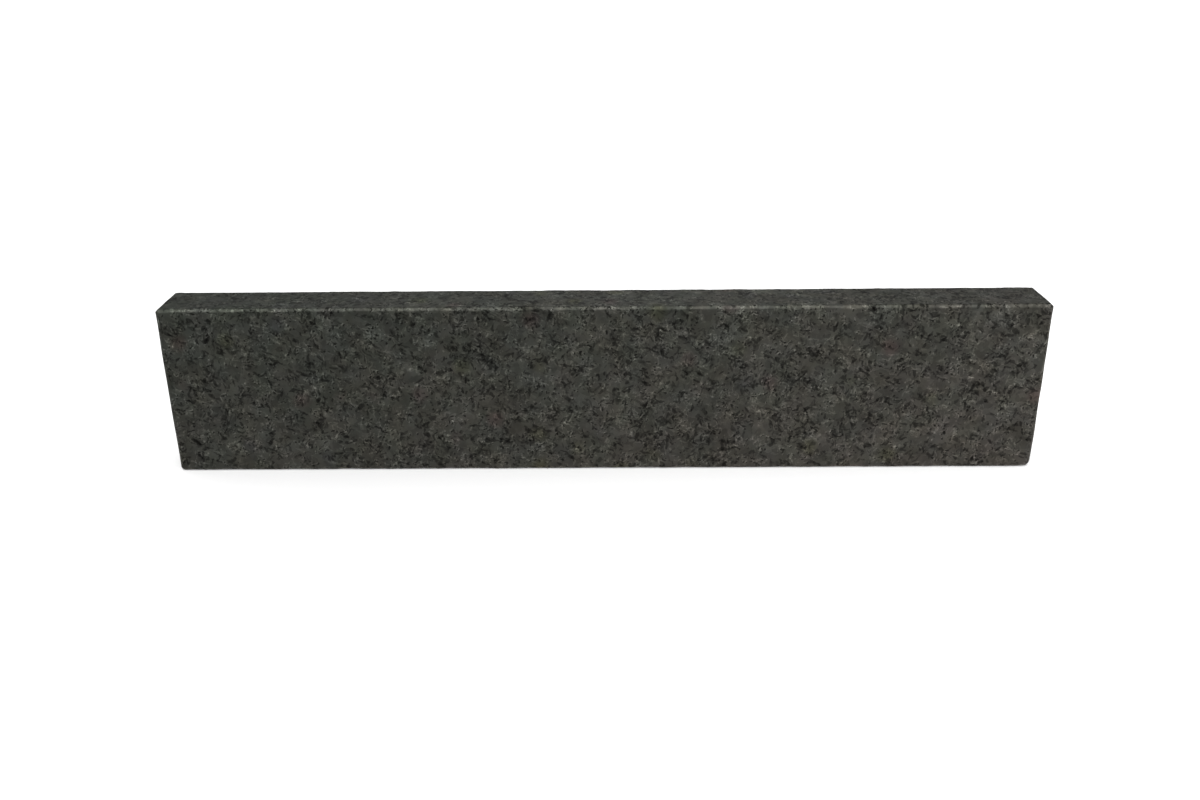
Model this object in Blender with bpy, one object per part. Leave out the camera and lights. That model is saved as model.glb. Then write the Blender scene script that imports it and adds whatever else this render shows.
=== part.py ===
# A granite slab for leatherwork: one block sawn from dark plate, honed, with its arrises eased.
# Metres, +Z up. X runs along the length, Y through the thickness and Z up the height.
# The block stands on its long narrow edge, and the origin is under its middle, on the bench.

from math import radians

import bmesh
import bpy

# The sawn blank.
LENGTH = 0.450
THICKNESS = 0.030  # 3 cm plate, the usual stock for slabs
HEIGHT = 0.090  # the width of the strip cut from that plate

# The eased arris: the leg taken off each face, along every edge of the block.
ARRIS_LEG = 0.0018
ARRIS_STEPS = 3
ARRIS_MIN_ANGLE = radians(40)  # only true edges are eased, not the steps of a rounding

# The lower edge of each end is worn rounder than an arris, and the right one more.
LEFT_FOOT_RADIUS = 0.0022
RIGHT_FOOT_RADIUS = 0.0032
FOOT_STEPS = 4

# Dark grey-green stone with a honed, satin surface.
STONE_COLOUR = (0.045, 0.045, 0.038, 1.0)
STONE_ROUGHNESS = 0.55
STONE_METALLIC = 0.0

TOUCHING = 1e-6  # how close two lengths are when they count as the same


def clear_scene():
    for obj in list(bpy.data.objects):
        bpy.data.objects.remove(obj, do_unlink=True)


def stone_material():
    material = bpy.data.materials.new("honed_granite")
    material.use_nodes = True
    shader = material.node_tree.nodes["Principled BSDF"]
    shader.inputs["Base Color"].default_value = STONE_COLOUR
    shader.inputs["Roughness"].default_value = STONE_ROUGHNESS
    shader.inputs["Metallic"].default_value = STONE_METALLIC
    return material


def sawn_blank(bm):
    # A unit cube stretched to the blank's size and lifted until its lower face is on the bench.
    bmesh.ops.create_cube(bm, size=1.0)
    bmesh.ops.scale(bm, vec=(LENGTH, THICKNESS, HEIGHT), verts=bm.verts)
    bmesh.ops.translate(bm, vec=(0.0, 0.0, HEIGHT / 2), verts=bm.verts)


def foot_edge(bm, x):
    # The edge between an end face and the base, which runs through the thickness.
    for edge in bm.edges:
        if all(abs(v.co.x - x) < TOUCHING and abs(v.co.z) < TOUCHING for v in edge.verts):
            return edge
    raise ValueError(f"the blank has no lower edge at x = {x}")


def round_foot(bm, x, radius):
    bmesh.ops.bevel(
        bm,
        geom=[foot_edge(bm, x)],
        offset=radius,
        segments=FOOT_STEPS,
        profile=0.5,
        affect="EDGES",
    )


def ease_arrises(slab):
    ease = slab.modifiers.new("eased_arrises", "BEVEL")
    ease.width = ARRIS_LEG
    ease.segments = ARRIS_STEPS
    ease.limit_method = "ANGLE"
    ease.angle_limit = ARRIS_MIN_ANGLE
    ease.harden_normals = True  # the rounding is smooth while the faces stay flat


def make_slab():
    bm = bmesh.new()
    sawn_blank(bm)
    round_foot(bm, -LENGTH / 2, LEFT_FOOT_RADIUS)
    round_foot(bm, LENGTH / 2, RIGHT_FOOT_RADIUS)
    mesh = bpy.data.meshes.new("granite_slab")
    bm.to_mesh(mesh)
    bm.free()
    mesh.shade_smooth()
    mesh.materials.append(stone_material())
    slab = bpy.data.objects.new("granite_slab", mesh)
    bpy.context.scene.collection.objects.link(slab)
    ease_arrises(slab)
    return slab


clear_scene()
make_slab()
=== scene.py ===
import math
import random

import bpy
import numpy as np
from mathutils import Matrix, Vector, noise


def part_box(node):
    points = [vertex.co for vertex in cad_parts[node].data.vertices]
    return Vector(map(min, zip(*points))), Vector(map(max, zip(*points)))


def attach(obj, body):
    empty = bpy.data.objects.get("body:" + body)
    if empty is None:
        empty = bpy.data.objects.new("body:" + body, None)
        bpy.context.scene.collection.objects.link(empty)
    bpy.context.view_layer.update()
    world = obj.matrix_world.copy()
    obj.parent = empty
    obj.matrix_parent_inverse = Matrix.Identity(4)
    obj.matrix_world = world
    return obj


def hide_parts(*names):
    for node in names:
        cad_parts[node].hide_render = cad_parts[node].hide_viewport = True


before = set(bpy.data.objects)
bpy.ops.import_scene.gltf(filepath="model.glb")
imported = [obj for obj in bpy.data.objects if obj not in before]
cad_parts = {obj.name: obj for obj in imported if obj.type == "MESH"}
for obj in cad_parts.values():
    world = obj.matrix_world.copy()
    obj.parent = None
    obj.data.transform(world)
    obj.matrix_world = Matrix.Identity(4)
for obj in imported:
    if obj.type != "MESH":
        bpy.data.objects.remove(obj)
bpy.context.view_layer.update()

mm = 0.001
slabLow, slabHigh = [np.array(corner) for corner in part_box("granite_slab")]
slabMiddle = (slabLow + slabHigh) / 2
slabHalf = (slabHigh - slabLow) / 2
print("frame loaded, slab sides in mm:", [round(side / mm, 2) for side in slabHalf * 2])

camera = {
    "place": (0.0046, -0.5552, 0.2709),
    "tilt": 66.83,      # degrees up from looking straight down
    "roll": 0.52,
    "turn": 0.44,
    "lens": 34.16,
    "sensor": 36,
    "clip": (0.01, 100),
}


def makeCamera():
    data = bpy.data.cameras.new("camera")
    data.lens = camera["lens"]
    data.sensor_width = camera["sensor"]
    data.clip_start, data.clip_end = camera["clip"]
    obj = bpy.data.objects.new("camera", data)
    obj.location = camera["place"]
    obj.rotation_euler = [math.radians(camera[key]) for key in ("tilt", "roll", "turn")]
    bpy.context.scene.collection.objects.link(obj)
    bpy.context.scene.camera = obj
    bpy.context.scene.view_settings.view_transform = "Standard"


makeCamera()
print("camera set")

block = {
    "edgeBand": 3.0 * mm,        # fine rows this far in from every edge
    "fineStep": 0.5 * mm,
    "lengthStep": 0.5 * mm,      # along the block, so that small chips have a shape
    "faceStep": 6.0 * mm,        # across the flat faces
    "arrisLeg": 1.8 * mm,
    "arrisProfile": 1.3,         # 1 is a straight chamfer, 2 a quarter round
    "legSlow": (14 * mm, 0.16),  # ground by hand, it wanders: how far apart, and by what share
    "legFast": (3.5 * mm, 0.08),
    "leftFoot": 2.2 * mm,        # the lower end edges are worn rounder
    "rightFoot": 3.2 * mm,
    "footProfile": 2.0,
    "footReach": (2.5 * mm, 7 * mm),
    "wave": (30 * mm, 0.04 * mm),   # honed faces are flat to a few hundredths
    "endWearAndHighlight": 0.4,                  # the long arrises are rubbed palest and carry the full painted highlight, the end ones this much
    "wearAndHighlightReach": (0.02, 0.6),        # shares of the leg where the rubbing and the painted highlight start and are full
    "sharpAngle": 40,
}
touching = 1e-7                     # how close two lengths are when they count as the same
wanderStride = (7.31, 3.17, 5.71)   # how far apart two wanders are taken from the same noise
wanders = {"legSlow": 1, "legFast": 2, "wave": 3}   # which of them each one uses


def gradedStops(low, high, middleStep):
    band = block["edgeBand"]
    rows = round(band / block["fineStep"])
    near = [low + band * i / rows for i in range(rows)]
    span = high - low - 2 * band
    count = round(span / middleStep)
    middle = [low + band + span * i / count for i in range(count + 1)]
    far = [low + high - stop for stop in reversed(near)]
    return np.array(near + middle + far)


def sideQuads(number, axis, side):
    # the quads of one side of the block, wound so that they face out
    plane = np.take(number, side, axis=axis)
    quads = np.stack([plane[:-1, :-1], plane[1:, :-1], plane[1:, 1:], plane[:-1, 1:]], axis=-1)
    quads = quads.reshape(-1, 4)
    outward = (side == -1) == (axis != 1)
    return quads if outward else quads[:, ::-1]


def sawnGrid():
    # the six flat sides as one welded grid, finer towards every edge
    steps = (block["lengthStep"], block["faceStep"], block["faceStep"])
    stops = [gradedStops(low, high, step) for low, high, step in zip(slabLow, slabHigh, steps)]
    counts = [len(row) for row in stops]
    index = np.indices(counts)
    onSkin = np.zeros(counts, bool)
    for axis, count in enumerate(counts):
        onSkin |= (index[axis] == 0) | (index[axis] == count - 1)
    number = np.full(counts, -1)
    number[onSkin] = np.arange(onSkin.sum())
    points = np.stack([stops[axis][index[axis][onSkin]] for axis in range(3)], axis=1)
    faces = np.concatenate([sideQuads(number, axis, side) for axis in range(3) for side in (0, -1)])
    return points, faces


def smoothStep(low, high, value):
    share = np.clip((value - low) / (high - low), 0, 1)
    return share * share * (3 - 2 * share)


def wander(points, size, seed):
    # a slow random swing between about -1 and 1
    start = Vector([stride * seed for stride in wanderStride])
    return np.array([noise.noise(Vector(point) / size + start) for point in points]) * 2


def footShare(local):
    # 1 on the two lower end edges, fading to 0 away from them
    depth = slabHalf - np.abs(local)
    nearEnd = 1 - smoothStep(*block["footReach"], depth[:, 0])
    nearBench = 1 - smoothStep(*block["footReach"], depth[:, 2])
    return nearEnd * nearBench * (local[:, 2] < 0)


def arrisLeg(points, local, foot):
    # how far in from the edge the easing starts
    slowSize, slowShare = block["legSlow"]
    fastSize, fastShare = block["legFast"]
    swing = slowShare * wander(points, slowSize, wanders["legSlow"])
    swing = swing + fastShare * wander(points, fastSize, wanders["legFast"])
    footLeg = np.where(local[:, 0] < 0, block["leftFoot"], block["rightFoot"])
    return block["arrisLeg"] * (1 + swing) * (1 - foot) + footLeg * foot


def easeArrises(points):
    # every edge is ground to a narrow eased band, and its mask says where
    local = points - slabMiddle
    foot = footShare(local)
    leg = arrisLeg(points, local, foot)[:, None]
    power = (block["arrisProfile"] * (1 - foot) + block["footProfile"] * foot)[:, None]
    inside = np.clip(np.abs(local) - (slabHalf - leg), 0, None)
    reach = np.sum(inside ** power, axis=1, keepdims=True) ** (1 / power)
    eased = inside * leg / np.maximum(reach, touching)
    local = np.sign(local) * (np.minimum(np.abs(local), slabHalf - leg) + eased)
    # the rubbed paleness, partly a painted highlight, is weaker on the end arrises
    wearAndPaintedHighlight = np.where(inside[:, 0] > 0, block["endWearAndHighlight"], 1)
    second = np.sort(inside, axis=1)[:, 1] / leg[:, 0]
    return slabMiddle + local, smoothStep(*block["wearAndHighlightReach"], second) * wearAndPaintedHighlight


def waveFaces(points, onArris):
    # the flats hollow a little here and there, and never stand proud
    size, depth = block["wave"]
    local = points - slabMiddle
    onFace = slabHalf - np.abs(local) < touching
    share = np.clip((1 + wander(points, size, wanders["wave"])) / 2, 0, 1)
    hollow = depth * share * (1 - onArris)
    return points - np.sign(local) * onFace * hollow[:, None]


chips = {
    "spacing": 24 * mm,              # one small chip every so often along an edge
    "halfWidth": (0.5 * mm, 1.5 * mm),
    "depth": (0.06 * mm, 0.30 * mm),
    "smallness": 2.2,                # most are near the small end of those ranges
    "stretch": (1.0, 2.2),           # chips run along the edge
    "rough": (0.9 * mm, 0.03),
    "paleDepth": (0.02 * mm, 0.12 * mm),
    "fewest": 2,                     # on even the shortest edge
    "wanderRange": (5, 15),
    "seed": 41,
}


def blockEdges():
    # each of the twelve edges: its start, its run, and the way out across it
    for axis in range(3):
        across = [other for other in range(3) if other != axis]
        for first in (-1, 1):
            for second in (-1, 1):
                out = np.zeros(3)
                out[across] = first, second
                start = slabMiddle + out * slabHalf
                run = np.zeros(3)
                run[axis] = 2 * slabHalf[axis]
                yield start - run / 2, run, out / math.sqrt(2)


def chipAt(draw, start, run, out):
    # a chip is a ball that sinks a little way into the eased band
    size = draw.random() ** chips["smallness"]
    halfWidth = np.interp(size, (0, 1), chips["halfWidth"])
    depth = np.interp(size, (0, 1), chips["depth"])
    radius = (halfWidth ** 2 + depth ** 2) / (2 * depth)
    # the middle of the eased band lies this far in from the sharp edge
    bandInset = block["arrisLeg"] * (1 - 2 ** (-1 / block["arrisProfile"])) * math.sqrt(2)
    return {
        "centre": start + run * draw.random() - out * (bandInset + depth - radius),
        "radius": radius,
        "along": run / np.linalg.norm(run),
        "stretch": draw.uniform(*chips["stretch"]),
        "seed": draw.uniform(*chips["wanderRange"]),
    }


def chipList():
    draw = random.Random(chips["seed"])
    made = []
    for start, run, out in blockEdges():
        count = max(chips["fewest"], round(np.linalg.norm(run) / chips["spacing"]))
        made += [chipAt(draw, start, run, out) for _ in range(count)]
    return made


def biteChip(points, fresh, chip):
    # points inside the stretched ball move out onto it, which hollows the stone
    within = chip["radius"] * chip["stretch"]
    near = np.flatnonzero(np.sum((points - chip["centre"]) ** 2, axis=1) < within ** 2)
    offset = points[near] - chip["centre"]
    lengthwise = np.outer(offset @ chip["along"], chip["along"])
    flat = offset - lengthwise * (1 - 1 / chip["stretch"])
    distance = np.linalg.norm(flat, axis=1)
    size, share = chips["rough"]
    gap = chip["radius"] * (1 + share * wander(points[near], size, chip["seed"])) - distance
    hit = gap > 0
    near, gap = near[hit], gap[hit]
    points[near] += flat[hit] / distance[hit, None] * gap[:, None]
    fresh[near] = np.maximum(fresh[near], smoothStep(*chips["paleDepth"], gap))


def makeBlock():
    points, faces = sawnGrid()
    points, onArris = easeArrises(points)
    points = waveFaces(points, onArris)
    fresh = np.zeros(len(points))
    bites = chipList()
    for chip in bites:
        biteChip(points, fresh, chip)
    fields = {"onArris": onArris, "freshBreak": fresh}
    mesh = bpy.data.meshes.new("granite_block")
    mesh.from_pydata(points.tolist(), [], faces.tolist())
    for name, values in fields.items():
        mesh.attributes.new(name, "FLOAT", "POINT").data.foreach_set("value", values.astype(np.float32))
    mesh.shade_smooth()
    mesh.set_sharp_from_angle(angle=math.radians(block["sharpAngle"]))
    obj = bpy.data.objects.new("granite_block", mesh)
    bpy.context.scene.collection.objects.link(obj)
    print("block made:", len(mesh.polygons), "faces,", len(bites), "chips")
    return obj


granite = {
    # sizes are in mm, and a pair is (least, most) unless it says otherwise
    "grey": (0.0304, 0.0300, 0.0258),
    "wideWobble": (6.0, 1.6),     # how far apart and how strong: grain outlines are never straight
    "fineWobble": (1.1, 0.34),
    "cloudRoughness": 0.55,
    "cloudRange": (0.3, 0.7),     # the part of a cloud's swing that is used, here and below
    "busySize": 9.0,              # quiet stretches of plain ground, and busy ones
    "busyRange": (0.40, 0.60),
    "groundGrain": 3.3,
    "groundTone": (0.80, 1.20),
    "patchSize": 5.0,
    "patchTone": (0.90, 1.10),
    "dustSize": 1.0,
    "dustRange": (0.32, 0.68),
    "dustDetail": 3.0,
    "dustTone": (0.98, 1.02),
    "seamWidth": (0.10, 0.02),    # the seam's rim and its full heart, in grains
    "seamGap": 2.4,
    "seamGapRange": (0.5, 0.62),
    "seamTone": 1.6,
    "darkPlate": (0.98, 3.0),     # thickness and breadth of the dark crystals
    "darkLies": 6,
    "darkCluster": 9.0,
    "darkRange": (0.35, 0.65),
    "darkShare": (0.004, 0.118),
    "darkTone": (0.38, 0.82),
    "speckGrain": 0.9,
    "speckShare": (0.009, 0.096),
    "speckTone": 0.32,
    # painted glints: pale highlights beside the black specks
    "paintedGlintShift": (0.55, 0.4, -0.5),
    "paintedGlintTone": 1.55,
    "palePlate": (0.55, 2.6),
    "paleLies": 4,
    "paleShare": (0.006, 0.098),
    "paleTone": (1.12, 1.68),
    "cloudSize": 24.0,
    "cloudTone": (0.90, 1.10),
    "tintSize": 13.0,
    "tintReach": 0.034,
    "paintedLightDown": 0.8,             # how much the height counts in the painted light gradient, against the length
    "paintedLightTone": 0.15,            # painted light: paler and warmer towards the right end and the foot, where the light falls stronger
    "paintedLightRed": 0.075,
    "paintedLightBlue": 0.012,
    "patchReach": (0.34, 0.06),   # a lone patch's rim and heart, as shares of the spacing
    "knotSpacing": 22.0,          # lone dark knots and pale ones, all through the block
    "darkKnot": (0.0, 0.3),       # which chances make each kind
    "paleKnot": (0.3, 0.6),
    "darkKnotShare": 0.10,
    "paleKnotTone": 1.16,
    "stainSpacing": 20.0,         # lone coloured patches
    "stains": {
        # which chances make each kind, and what it does to red, green and blue
        "red": ((0.0, 0.22), (1.14, 0.955, 1.0)),
        "olive": ((0.22, 0.52), (1.01, 1.02, 0.86)),
        "blue": ((0.52, 0.80), (1.0, 0.99, 1.07)),
    },
    "roughness": (0.50, 0.64),
    "arrisRoughness": 0.70,
    # pale arrises: partly their own rubbed wear, partly a painted highlight
    "wearAndHighlightSize": 2.6,
    "wearAndHighlightRange": (0.35, 0.65),
    "arrisWearAndHighlightTone": (1.75, 2.45),
    "arrisPaintedLightOffset": 0.24,           # the rubbed and highlighted arrises turn less pale along the same painted light gradient, which evens them out
    "breakTone": 1.3,
    "breakRoughness": 0.8,
    "gloss": 0.02,
    "relief": 0.05 * mm,
    "reliefStrength": 0.5,
    "grainHeight": 0.3,           # against a speck's pit
}

layerStride = (31.7, 17.3, 23.9)  # mm between two layers' stretches of the endless pattern
layers = {
    "wideWobble": 1,
    "fineWobble": 2,
    "ground": 3,
    "patch": 4,
    "dust": 5,
    "seamGap": 6,
    "darkCluster": 7,
    "speck": 9,
    "cloud": 13,
    "wearAndHighlight": 14,
    "redTint": 15,
    "blueTint": 16,
    "stain": 17,
    "knot": 18,
    "darkPlate": 20,              # and one more for each way that the plates lie
    "palePlate": 40,
}
goldenAngle = math.radians(137.5)

honedGranite = bpy.data.materials.new("honed_granite")
honedGranite.use_nodes = True
tree = honedGranite.node_tree
tree.nodes.clear()


def addNode(kind, inputs, **settings):
    node = tree.nodes.new(kind)
    for key, value in settings.items():
        setattr(node, key, value)
    for key, value in inputs.items():
        if isinstance(value, bpy.types.NodeSocket):
            tree.links.new(value, node.inputs[key])
        else:
            node.inputs[key].default_value = value
    return node


def calc(operation, first, second=0.0):
    return addNode("ShaderNodeMath", {0: first, 1: second}, operation=operation).outputs[0]


def calcVector(operation, first, second):
    key = "Scale" if operation == "SCALE" else 1
    return addNode("ShaderNodeVectorMath", {0: first, key: second}, operation=operation).outputs[0]


def ramp(value, source, target=(0.0, 1.0), kind="SMOOTHSTEP"):
    inputs = {"Value": value, "From Min": source[0], "From Max": source[1]}
    inputs.update({"To Min": target[0], "To Max": target[1]})
    return addNode("ShaderNodeMapRange", inputs, interpolation_type=kind).outputs[0]


def spread(chance, target):
    return ramp(chance, (0.0, 1.0), target, "LINEAR")


def elsewhere(place, number):
    # a layer's own stretch of the endless pattern
    return calcVector("ADD", place, [stride * number for stride in layerStride])


def clouds(place, size, layer, detail=2.0, output="Fac"):
    inputs = {"Vector": elsewhere(place, layers[layer]), "Scale": 1 / size}
    inputs.update({"Detail": detail, "Roughness": granite["cloudRoughness"]})
    return addNode("ShaderNodeTexNoise", inputs).outputs[output]


def grains(place, size, layer, feature="F1", further=0):
    inputs = {"Vector": elsewhere(place, layers[layer] + further), "Scale": 1 / size}
    return addNode("ShaderNodeTexVoronoi", inputs, feature=feature)


def chances(cells):
    # three random numbers, the same all over one grain
    return addNode("ShaderNodeSeparateColor", {0: cells.outputs["Color"]}).outputs


def painted(name):
    return addNode("ShaderNodeAttribute", {}, attribute_name=name).outputs["Fac"]


def toned(tone, mask, factor):
    # tone times factor where the mask is 1, unchanged where it is 0
    gain = calc("ADD", 1.0, calc("MULTIPLY", mask, calc("SUBTRACT", factor, 1.0)))
    return calc("MULTIPLY", tone, gain)


def wobbled(place, layer):
    size, strength = granite[layer]
    wobble = calcVector("SUBTRACT", clouds(place, size, layer, 1.0, "Color"), (0.5, 0.5, 0.5))
    return calcVector("ADD", place, calcVector("SCALE", wobble, strength * 2))


def lonePatches(outline, spacing, layer):
    # one soft patch in the middle of each big cell, and a chance that says which kind it is
    cells = grains(outline, spacing, layer)
    return ramp(cells.outputs["Distance"], granite["patchReach"]), chances(cells)[0]


def ofKind(patch, chance, limits):
    chosen = calc("MULTIPLY", calc("GREATER_THAN", chance, limits[0]), calc("LESS_THAN", chance, limits[1]))
    return calc("MULTIPLY", patch, chosen)


def groundTone(place, ground):
    tone = spread(ground[0], granite["groundTone"])
    patch = clouds(place, granite["patchSize"], "patch")
    dust = clouds(place, granite["dustSize"], "dust", granite["dustDetail"])
    tone = calc("MULTIPLY", tone, ramp(patch, granite["cloudRange"], granite["patchTone"]))
    return calc("MULTIPLY", tone, ramp(dust, granite["dustRange"], granite["dustTone"]))


def addSeams(tone, place, outline, busy):
    # broken pale lines between some of the ground grains
    distance = grains(outline, granite["groundGrain"], "ground", "DISTANCE_TO_EDGE").outputs["Distance"]
    onSeam = ramp(distance, granite["seamWidth"])
    broken = ramp(clouds(place, granite["seamGap"], "seamGap"), granite["seamGapRange"])
    return toned(tone, calc("MULTIPLY", calc("MULTIPLY", onSeam, broken), busy), granite["seamTone"])


def addPlates(tone, outline, share, name, lies, target):
    # thin crystals that lie several ways, spread evenly round a half sphere
    thickness, breadth = granite[name]
    for lie in range(lies):
        turn = (0, -math.asin((lie + 0.5) / lies), lie * goldenAngle)
        scale = (thickness, breadth, breadth)
        laid = addNode("ShaderNodeMapping", {"Vector": outline, "Rotation": turn, "Scale": scale},
                       vector_type="TEXTURE").outputs[0]
        plate = chances(grains(laid, 1.0, name, further=lie))
        tone = toned(tone, calc("LESS_THAN", plate[0], share), spread(plate[1], target))
    return tone


def addDarkCrystals(tone, place, outline, darkKnot):
    cluster = clouds(place, granite["darkCluster"], "darkCluster")
    share = ramp(cluster, granite["darkRange"], granite["darkShare"])
    share = calc("ADD", share, calc("MULTIPLY", darkKnot, granite["darkKnotShare"]))
    return addPlates(tone, outline, share, "darkPlate", granite["darkLies"], granite["darkTone"])


def addSpecks(tone, outline, share):
    # black specks, each with a painted glint, a pale highlight, at its side
    speck = chances(grains(outline, granite["speckGrain"], "speck"))
    isSpeck = calc("LESS_THAN", speck[0], share)
    beside = calcVector("ADD", outline, granite["paintedGlintShift"])
    isPaintedGlint = calc("LESS_THAN", chances(grains(beside, granite["speckGrain"], "speck"))[0], share)
    tone = toned(tone, isPaintedGlint, granite["paintedGlintTone"])
    return toned(tone, isSpeck, granite["speckTone"]), isSpeck


def addPaleCrystals(tone, outline, busy, paleKnot):
    share = spread(calc("ADD", busy, paleKnot), granite["paleShare"])
    tone = addPlates(tone, outline, share, "palePlate", granite["paleLies"], granite["paleTone"])
    return toned(tone, paleKnot, granite["paleKnotTone"])


def paintedLightField(place):
    # painted light gradient: -1 at the upper left of the block, 1 at the lower right
    x, _, z = addNode("ShaderNodeSeparateXYZ", {0: place}).outputs
    rightward = ramp(x, (slabLow[0] / mm, slabHigh[0] / mm), (-1, 1), "LINEAR")
    downward = ramp(z, (slabHigh[2] / mm, slabLow[2] / mm), (-1, 1), "LINEAR")
    slope = calc("ADD", rightward, calc("MULTIPLY", downward, granite["paintedLightDown"]))
    steepest = 1 + granite["paintedLightDown"]
    return ramp(slope, (-steepest, steepest), (-1, 1), "LINEAR")


def addWearAndPaintedHighlight(tone, place, paintedLightSlope):
    # rubbed arrises are pale in patches, partly their own wear and partly a painted highlight, and as pale
    # at one end as at the other
    wearAndPaintedHighlight = ramp(clouds(place, granite["wearAndHighlightSize"], "wearAndHighlight"), granite["wearAndHighlightRange"], granite["arrisWearAndHighlightTone"])
    wearAndPaintedHighlight = toned(wearAndPaintedHighlight, paintedLightSlope, 1 - granite["arrisPaintedLightOffset"])
    tone = toned(tone, painted("onArris"), wearAndPaintedHighlight)
    return toned(tone, painted("freshBreak"), granite["breakTone"])


def slowTint(place, layer, paintedLightSlope, paintedLightGain):
    reach = (1 - granite["tintReach"], 1 + granite["tintReach"])
    tint = ramp(clouds(place, granite["tintSize"], layer), granite["cloudRange"], reach)
    return toned(tint, paintedLightSlope, 1 + paintedLightGain)


def stoneTint(place, outline, paintedLightSlope):
    # the three channels' shares: slow tints warmed by the painted light gradient, then the lone coloured
    # patches
    red = slowTint(place, "redTint", paintedLightSlope, granite["paintedLightRed"])
    blue = slowTint(place, "blueTint", paintedLightSlope, granite["paintedLightBlue"])
    tint = addNode("ShaderNodeCombineXYZ", {0: red, 1: 1.0, 2: blue}).outputs[0]
    patch, chance = lonePatches(outline, granite["stainSpacing"], "stain")
    for limits, factors in granite["stains"].values():
        change = [factor - 1 for factor in factors]
        gain = calcVector("SCALE", change, ofKind(patch, chance, limits))
        tint = calcVector("MULTIPLY", tint, calcVector("ADD", gain, (1, 1, 1)))
    return tint


def stoneRoughness(chance):
    # the ground arrises are duller than the honed faces, and fresh chips are raw
    rough = spread(chance, granite["roughness"])
    rough = calc("MAXIMUM", rough, calc("MULTIPLY", painted("onArris"), granite["arrisRoughness"]))
    return calc("MAXIMUM", rough, calc("MULTIPLY", painted("freshBreak"), granite["breakRoughness"]))


def shadeGranite():
    place = calcVector("SCALE", addNode("ShaderNodeTexCoord", {}).outputs["Object"], 1 / mm)
    outline = wobbled(wobbled(place, "wideWobble"), "fineWobble")
    busy = ramp(clouds(place, granite["busySize"], "ground"), granite["busyRange"])
    ground = chances(grains(outline, granite["groundGrain"], "ground"))
    tone = groundTone(place, ground)
    tone = addSeams(tone, place, outline, busy)
    knot, chance = lonePatches(outline, granite["knotSpacing"], "knot")
    tone = addDarkCrystals(tone, place, outline, ofKind(knot, chance, granite["darkKnot"]))
    tone = addPaleCrystals(tone, outline, busy, ofKind(knot, chance, granite["paleKnot"]))
    tone, isSpeck = addSpecks(tone, outline, spread(busy, granite["speckShare"]))
    cloud = clouds(place, granite["cloudSize"], "cloud")
    tone = calc("MULTIPLY", tone, ramp(cloud, granite["cloudRange"], granite["cloudTone"]))
    paintedLightSlope = paintedLightField(place)
    # painted light: the colour turns paler towards the lower right
    tone = toned(tone, paintedLightSlope, 1 + granite["paintedLightTone"])
    tone = addWearAndPaintedHighlight(tone, place, paintedLightSlope)
    tint = calcVector("MULTIPLY", stoneTint(place, outline, paintedLightSlope), granite["grey"])
    height = calc("SUBTRACT", calc("MULTIPLY", ground[2], granite["grainHeight"]), isSpeck)
    bump = addNode("ShaderNodeBump", {
        "Strength": granite["reliefStrength"],
        "Distance": granite["relief"],
        "Height": height,
    })
    shader = addNode("ShaderNodeBsdfPrincipled", {
        "Base Color": calcVector("SCALE", tint, tone),
        "Roughness": stoneRoughness(ground[1]),
        "Specular IOR Level": granite["gloss"],
        "Normal": bump.outputs[0],
    })
    addNode("ShaderNodeOutputMaterial", {"Surface": shader.outputs[0]})


shadeGranite()
slabStone = makeBlock()
slabStone.data.materials.append(honedGranite)
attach(slabStone, "root")
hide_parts("granite_slab")
print("granite applied")

studio = {
    "floorRadius": 8.0,
    "floorSides": 96,
    "floorColour": (0.96, 0.96, 0.96, 1),
    "floorRoughness": 0.9,
    "floorGloss": 0.1,
    "skyColour": (1, 1, 1, 1),
    "skyStrength": 1.0,
    "keyStrength": 1.2,
    "keyAngle": 26,       # degrees across, as a softbox overhead
    "keyHeight": 66,      # degrees above the horizon, in front
    "keyTurn": 3,         # and a little to the right
    "lamps": {
        # where each small softbox hangs, its width and its power
        "side": ((0.62, -0.50, 0.18), 0.36, 2.4),
        "top": ((0.03, 0.12, 0.25), 0.12, 0.14),     # low over the middle of the top edge
    },
}


def makeFloor():
    turns = np.linspace(0, 2 * math.pi, studio["floorSides"], endpoint=False)
    radius = studio["floorRadius"]
    rim = [(radius * math.cos(turn), radius * math.sin(turn), slabLow[2]) for turn in turns]
    mesh = bpy.data.meshes.new("floor")
    mesh.from_pydata(rim, [], [list(range(len(rim)))])
    material = bpy.data.materials.new("pale_floor")
    material.use_nodes = True
    shader = material.node_tree.nodes["Principled BSDF"]
    shader.inputs["Base Color"].default_value = studio["floorColour"]
    shader.inputs["Roughness"].default_value = studio["floorRoughness"]
    shader.inputs["Specular IOR Level"].default_value = studio["floorGloss"]
    mesh.materials.append(material)
    obj = bpy.data.objects.new("floor", mesh)
    bpy.context.scene.collection.objects.link(obj)


def makeSky():
    world = bpy.data.worlds.new("studio")
    world.use_nodes = True
    background = world.node_tree.nodes["Background"]
    background.inputs["Color"].default_value = studio["skyColour"]
    background.inputs["Strength"].default_value = studio["skyStrength"]
    bpy.context.scene.world = world


def makeKeyLight():
    light = bpy.data.lights.new("key", "SUN")
    light.energy = studio["keyStrength"]
    light.angle = math.radians(studio["keyAngle"])
    obj = bpy.data.objects.new("key", light)
    obj.rotation_euler = (math.radians(90 - studio["keyHeight"]), 0, math.radians(studio["keyTurn"]))
    bpy.context.scene.collection.objects.link(obj)


def makeLamp(name, place, size, power):
    light = bpy.data.lights.new(name, "AREA")
    light.size = size
    light.energy = power
    obj = bpy.data.objects.new(name, light)
    obj.location = place
    obj.rotation_euler = (Vector(slabMiddle) - Vector(place)).to_track_quat("-Z", "Y").to_euler()
    obj.visible_camera = False
    bpy.context.scene.collection.objects.link(obj)


makeFloor()
makeSky()
makeKeyLight()
for name, lamp in studio["lamps"].items():
    makeLamp(name, *lamp)
print("studio set")
